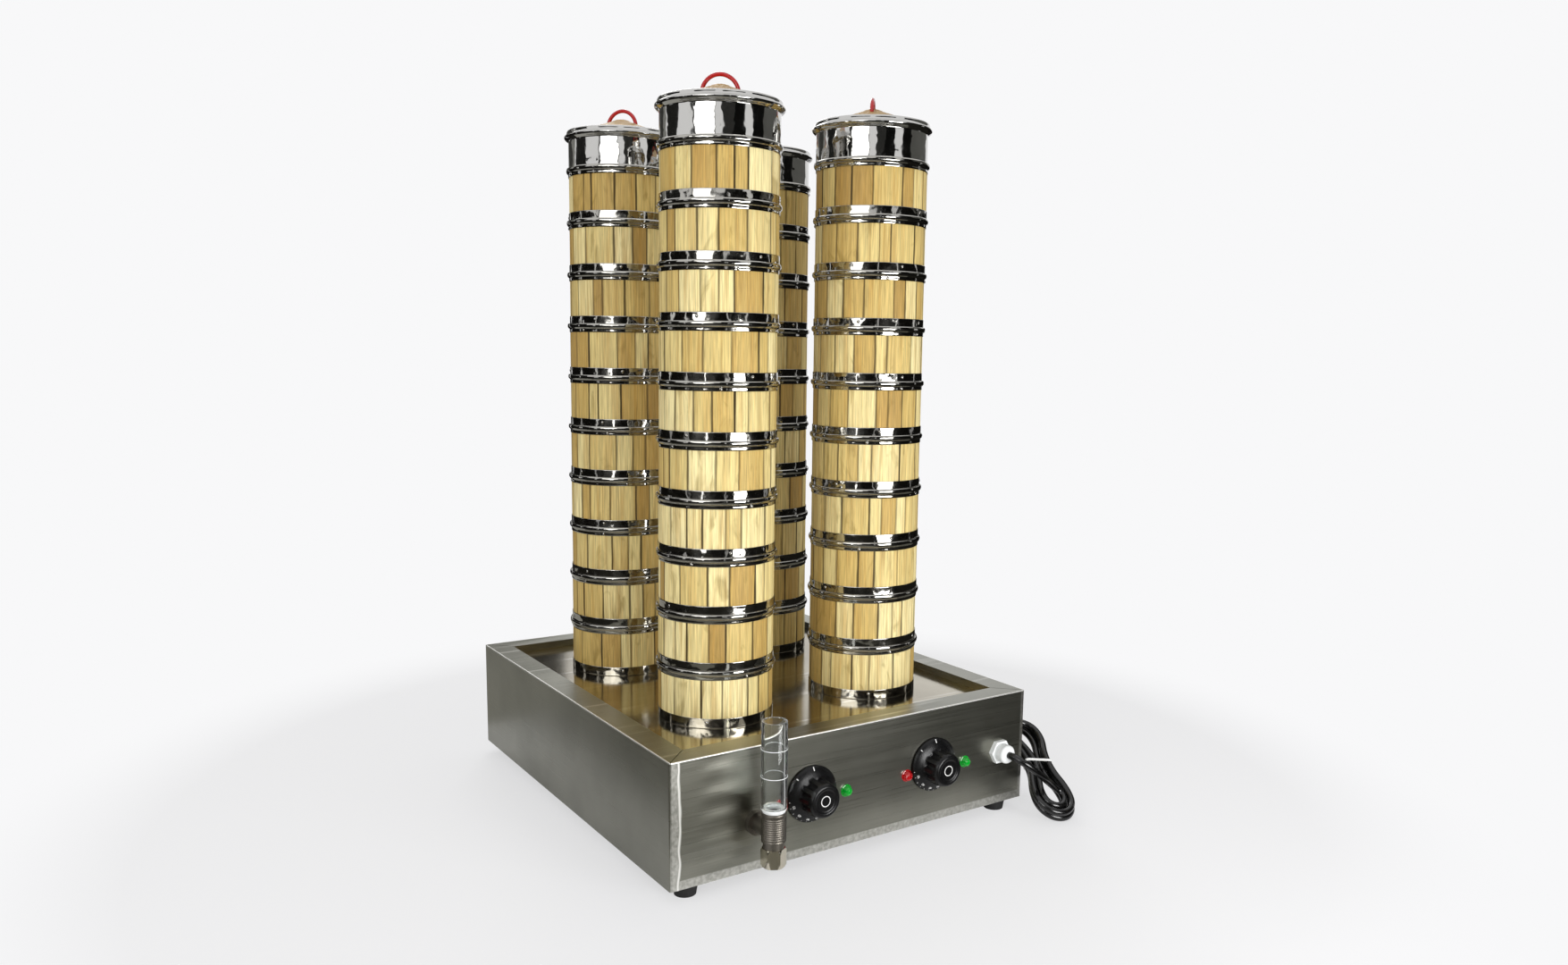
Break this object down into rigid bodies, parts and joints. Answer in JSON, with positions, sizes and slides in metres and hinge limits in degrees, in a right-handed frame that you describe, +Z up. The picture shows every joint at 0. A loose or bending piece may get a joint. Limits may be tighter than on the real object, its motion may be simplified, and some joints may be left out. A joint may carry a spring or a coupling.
{
  "type": "dumpling steamer",
  "caption": "Countertop dumpling steamer: a low stainless steel heated base with knobs, lamps and a sight tube, carrying stacks of steel-banded bamboo tiers with domed lids.",
  "frame": {"origin": "on the standing surface under the middle of the object without its cord", "axes": "+Z up, front with the knobs faces -Y, +X to the viewer's right seen from the front"},
  "size_m": [0.5745, 0.6419, 0.8803],
  "materials": {
    "casing_steel": "satin",
    "tank_steel": "satin",
    "element_steel": "satin",
    "black_rubber": "matte",
    "lamp_lens": "gloss",
    "clear_tube": "gloss",
    "chromed_fitting": "polished",
    "white_nylon": "matte",
    "black_cord": "satin",
    "black_plug": "satin",
    "black_knob": "gloss",
    "bamboo": "satin",
    "lid_steel": "polished"
  },
  "bodies": {
    "base": {"casing": "casing_steel", "deck_plate": "casing_steel", "water_tank": "tank_steel", "bottom_cover": "tank_steel", "heaters_and_thermostats": "element_steel", "rubber_feet": "black_rubber", "pilot_lamps": "lamp_lens", "sight_tube": "clear_tube", "inlet_tee": "chromed_fitting", "cable_gland": "white_nylon", "power_cord": "black_cord", "cord_hank": "black_cord", "power_plug": "black_plug"},
    "left_knob": {"control_knob_left": "black_knob"},
    "right_knob": {"control_knob_right": "black_knob"},
    "drain": {"drain_plug": "chromed_fitting"},
    "tier_front_left_01": {"tier_front_left_01": "bamboo"},
    "tier_front_left_02": {"tier_front_left_02": "bamboo"},
    "tier_front_left_03": {"tier_front_left_03": "bamboo"},
    "tier_front_left_04": {"tier_front_left_04": "bamboo"},
    "tier_front_left_05": {"tier_front_left_05": "bamboo"},
    "tier_front_left_06": {"tier_front_left_06": "bamboo"},
    "tier_front_left_07": {"tier_front_left_07": "bamboo"},
    "tier_front_left_08": {"tier_front_left_08": "bamboo"},
    "tier_front_left_09": {"tier_front_left_09": "bamboo"},
    "tier_front_left_10": {"tier_front_left_10": "bamboo"},
    "lid_front_left": {"lid_front_left": "lid_steel"},
    "tier_front_right_01": {"tier_front_right_01": "bamboo"},
    "tier_front_right_02": {"tier_front_right_02": "bamboo"},
    "tier_front_right_03": {"tier_front_right_03": "bamboo"},
    "tier_front_right_04": {"tier_front_right_04": "bamboo"},
    "tier_front_right_05": {"tier_front_right_05": "bamboo"},
    "tier_front_right_06": {"tier_front_right_06": "bamboo"},
    "tier_front_right_07": {"tier_front_right_07": "bamboo"},
    "tier_front_right_08": {"tier_front_right_08": "bamboo"},
    "tier_front_right_09": {"tier_front_right_09": "bamboo"},
    "tier_front_right_10": {"tier_front_right_10": "bamboo"},
    "lid_front_right": {"lid_front_right": "lid_steel"},
    "tier_back_left_01": {"tier_back_left_01": "bamboo"},
    "tier_back_left_02": {"tier_back_left_02": "bamboo"},
    "tier_back_left_03": {"tier_back_left_03": "bamboo"},
    "tier_back_left_04": {"tier_back_left_04": "bamboo"},
    "tier_back_left_05": {"tier_back_left_05": "bamboo"},
    "tier_back_left_06": {"tier_back_left_06": "bamboo"},
    "tier_back_left_07": {"tier_back_left_07": "bamboo"},
    "tier_back_left_08": {"tier_back_left_08": "bamboo"},
    "tier_back_left_09": {"tier_back_left_09": "bamboo"},
    "tier_back_left_10": {"tier_back_left_10": "bamboo"},
    "lid_back_left": {"lid_back_left": "lid_steel"},
    "tier_back_right_01": {"tier_back_right_01": "bamboo"},
    "tier_back_right_02": {"tier_back_right_02": "bamboo"},
    "tier_back_right_03": {"tier_back_right_03": "bamboo"},
    "tier_back_right_04": {"tier_back_right_04": "bamboo"},
    "tier_back_right_05": {"tier_back_right_05": "bamboo"},
    "tier_back_right_06": {"tier_back_right_06": "bamboo"},
    "tier_back_right_07": {"tier_back_right_07": "bamboo"},
    "tier_back_right_08": {"tier_back_right_08": "bamboo"},
    "tier_back_right_09": {"tier_back_right_09": "bamboo"},
    "tier_back_right_10": {"tier_back_right_10": "bamboo"},
    "lid_back_right": {"lid_back_right": "lid_steel"}
  },
  "joints": [
    {"name": "left_knob_turn", "type": "hinge", "parent": "base", "child": "left_knob", "pos_m": [-0.075, -0.2593, 0.087], "axis": [0, 1, 0], "range_deg": [0, 270]},
    {"name": "right_knob_turn", "type": "hinge", "parent": "base", "child": "right_knob", "pos_m": [0.101, -0.2593, 0.087], "axis": [0, 1, 0], "range_deg": [0, 270]},
    {"name": "drain_plug_unscrew", "type": "slide", "parent": "base", "child": "drain", "axis": [0, 0, -1], "range_m": [0, 0.03]},
    {"name": "lift_front_left_01", "type": "slide", "parent": "base", "child": "tier_front_left_01", "axis": [0, 0, 1], "range_m": [0, 0.06]},
    {"name": "lift_front_left_02", "type": "slide", "parent": "tier_front_left_01", "child": "tier_front_left_02", "axis": [0, 0, 1], "range_m": [0, 0.06]},
    {"name": "lift_front_left_03", "type": "slide", "parent": "tier_front_left_02", "child": "tier_front_left_03", "axis": [0, 0, 1], "range_m": [0, 0.06]},
    {"name": "lift_front_left_04", "type": "slide", "parent": "tier_front_left_03", "child": "tier_front_left_04", "axis": [0, 0, 1], "range_m": [0, 0.06]},
    {"name": "lift_front_left_05", "type": "slide", "parent": "tier_front_left_04", "child": "tier_front_left_05", "axis": [0, 0, 1], "range_m": [0, 0.06]},
    {"name": "lift_front_left_06", "type": "slide", "parent": "tier_front_left_05", "child": "tier_front_left_06", "axis": [0, 0, 1], "range_m": [0, 0.06]},
    {"name": "lift_front_left_07", "type": "slide", "parent": "tier_front_left_06", "child": "tier_front_left_07", "axis": [0, 0, 1], "range_m": [0, 0.06]},
    {"name": "lift_front_left_08", "type": "slide", "parent": "tier_front_left_07", "child": "tier_front_left_08", "axis": [0, 0, 1], "range_m": [0, 0.06]},
    {"name": "lift_front_left_09", "type": "slide", "parent": "tier_front_left_08", "child": "tier_front_left_09", "axis": [0, 0, 1], "range_m": [0, 0.06]},
    {"name": "lift_front_left_10", "type": "slide", "parent": "tier_front_left_09", "child": "tier_front_left_10", "axis": [0, 0, 1], "range_m": [0, 0.06]},
    {"name": "lift_lid_front_left", "type": "slide", "parent": "tier_front_left_10", "child": "lid_front_left", "axis": [0, 0, 1], "range_m": [0, 0.08]},
    {"name": "lift_front_right_01", "type": "slide", "parent": "base", "child": "tier_front_right_01", "axis": [0, 0, 1], "range_m": [0, 0.06]},
    {"name": "lift_front_right_02", "type": "slide", "parent": "tier_front_right_01", "child": "tier_front_right_02", "axis": [0, 0, 1], "range_m": [0, 0.06]},
    {"name": "lift_front_right_03", "type": "slide", "parent": "tier_front_right_02", "child": "tier_front_right_03", "axis": [0, 0, 1], "range_m": [0, 0.06]},
    {"name": "lift_front_right_04", "type": "slide", "parent": "tier_front_right_03", "child": "tier_front_right_04", "axis": [0, 0, 1], "range_m": [0, 0.06]},
    {"name": "lift_front_right_05", "type": "slide", "parent": "tier_front_right_04", "child": "tier_front_right_05", "axis": [0, 0, 1], "range_m": [0, 0.06]},
    {"name": "lift_front_right_06", "type": "slide", "parent": "tier_front_right_05", "child": "tier_front_right_06", "axis": [0, 0, 1], "range_m": [0, 0.06]},
    {"name": "lift_front_right_07", "type": "slide", "parent": "tier_front_right_06", "child": "tier_front_right_07", "axis": [0, 0, 1], "range_m": [0, 0.06]},
    {"name": "lift_front_right_08", "type": "slide", "parent": "tier_front_right_07", "child": "tier_front_right_08", "axis": [0, 0, 1], "range_m": [0, 0.06]},
    {"name": "lift_front_right_09", "type": "slide", "parent": "tier_front_right_08", "child": "tier_front_right_09", "axis": [0, 0, 1], "range_m": [0, 0.06]},
    {"name": "lift_front_right_10", "type": "slide", "parent": "tier_front_right_09", "child": "tier_front_right_10", "axis": [0, 0, 1], "range_m": [0, 0.06]},
    {"name": "lift_lid_front_right", "type": "slide", "parent": "tier_front_right_10", "child": "lid_front_right", "axis": [0, 0, 1], "range_m": [0, 0.08]},
    {"name": "lift_back_left_01", "type": "slide", "parent": "base", "child": "tier_back_left_01", "axis": [0, 0, 1], "range_m": [0, 0.06]},
    {"name": "lift_back_left_02", "type": "slide", "parent": "tier_back_left_01", "child": "tier_back_left_02", "axis": [0, 0, 1], "range_m": [0, 0.06]},
    {"name": "lift_back_left_03", "type": "slide", "parent": "tier_back_left_02", "child": "tier_back_left_03", "axis": [0, 0, 1], "range_m": [0, 0.06]},
    {"name": "lift_back_left_04", "type": "slide", "parent": "tier_back_left_03", "child": "tier_back_left_04", "axis": [0, 0, 1], "range_m": [0, 0.06]},
    {"name": "lift_back_left_05", "type": "slide", "parent": "tier_back_left_04", "child": "tier_back_left_05", "axis": [0, 0, 1], "range_m": [0, 0.06]},
    {"name": "lift_back_left_06", "type": "slide", "parent": "tier_back_left_05", "child": "tier_back_left_06", "axis": [0, 0, 1], "range_m": [0, 0.06]},
    {"name": "lift_back_left_07", "type": "slide", "parent": "tier_back_left_06", "child": "tier_back_left_07", "axis": [0, 0, 1], "range_m": [0, 0.06]},
    {"name": "lift_back_left_08", "type": "slide", "parent": "tier_back_left_07", "child": "tier_back_left_08", "axis": [0, 0, 1], "range_m": [0, 0.06]},
    {"name": "lift_back_left_09", "type": "slide", "parent": "tier_back_left_08", "child": "tier_back_left_09", "axis": [0, 0, 1], "range_m": [0, 0.06]},
    {"name": "lift_back_left_10", "type": "slide", "parent": "tier_back_left_09", "child": "tier_back_left_10", "axis": [0, 0, 1], "range_m": [0, 0.06]},
    {"name": "lift_lid_back_left", "type": "slide", "parent": "tier_back_left_10", "child": "lid_back_left", "axis": [0, 0, 1], "range_m": [0, 0.08]},
    {"name": "lift_back_right_01", "type": "slide", "parent": "base", "child": "tier_back_right_01", "axis": [0, 0, 1], "range_m": [0, 0.06]},
    {"name": "lift_back_right_02", "type": "slide", "parent": "tier_back_right_01", "child": "tier_back_right_02", "axis": [0, 0, 1], "range_m": [0, 0.06]},
    {"name": "lift_back_right_03", "type": "slide", "parent": "tier_back_right_02", "child": "tier_back_right_03", "axis": [0, 0, 1], "range_m": [0, 0.06]},
    {"name": "lift_back_right_04", "type": "slide", "parent": "tier_back_right_03", "child": "tier_back_right_04", "axis": [0, 0, 1], "range_m": [0, 0.06]},
    {"name": "lift_back_right_05", "type": "slide", "parent": "tier_back_right_04", "child": "tier_back_right_05", "axis": [0, 0, 1], "range_m": [0, 0.06]},
    {"name": "lift_back_right_06", "type": "slide", "parent": "tier_back_right_05", "child": "tier_back_right_06", "axis": [0, 0, 1], "range_m": [0, 0.06]},
    {"name": "lift_back_right_07", "type": "slide", "parent": "tier_back_right_06", "child": "tier_back_right_07", "axis": [0, 0, 1], "range_m": [0, 0.06]},
    {"name": "lift_back_right_08", "type": "slide", "parent": "tier_back_right_07", "child": "tier_back_right_08", "axis": [0, 0, 1], "range_m": [0, 0.06]},
    {"name": "lift_back_right_09", "type": "slide", "parent": "tier_back_right_08", "child": "tier_back_right_09", "axis": [0, 0, 1], "range_m": [0, 0.06]},
    {"name": "lift_back_right_10", "type": "slide", "parent": "tier_back_right_09", "child": "tier_back_right_10", "axis": [0, 0, 1], "range_m": [0, 0.06]},
    {"name": "lift_lid_back_right", "type": "slide", "parent": "tier_back_right_10", "child": "lid_back_right", "axis": [0, 0, 1], "range_m": [0, 0.08]}
  ]
}
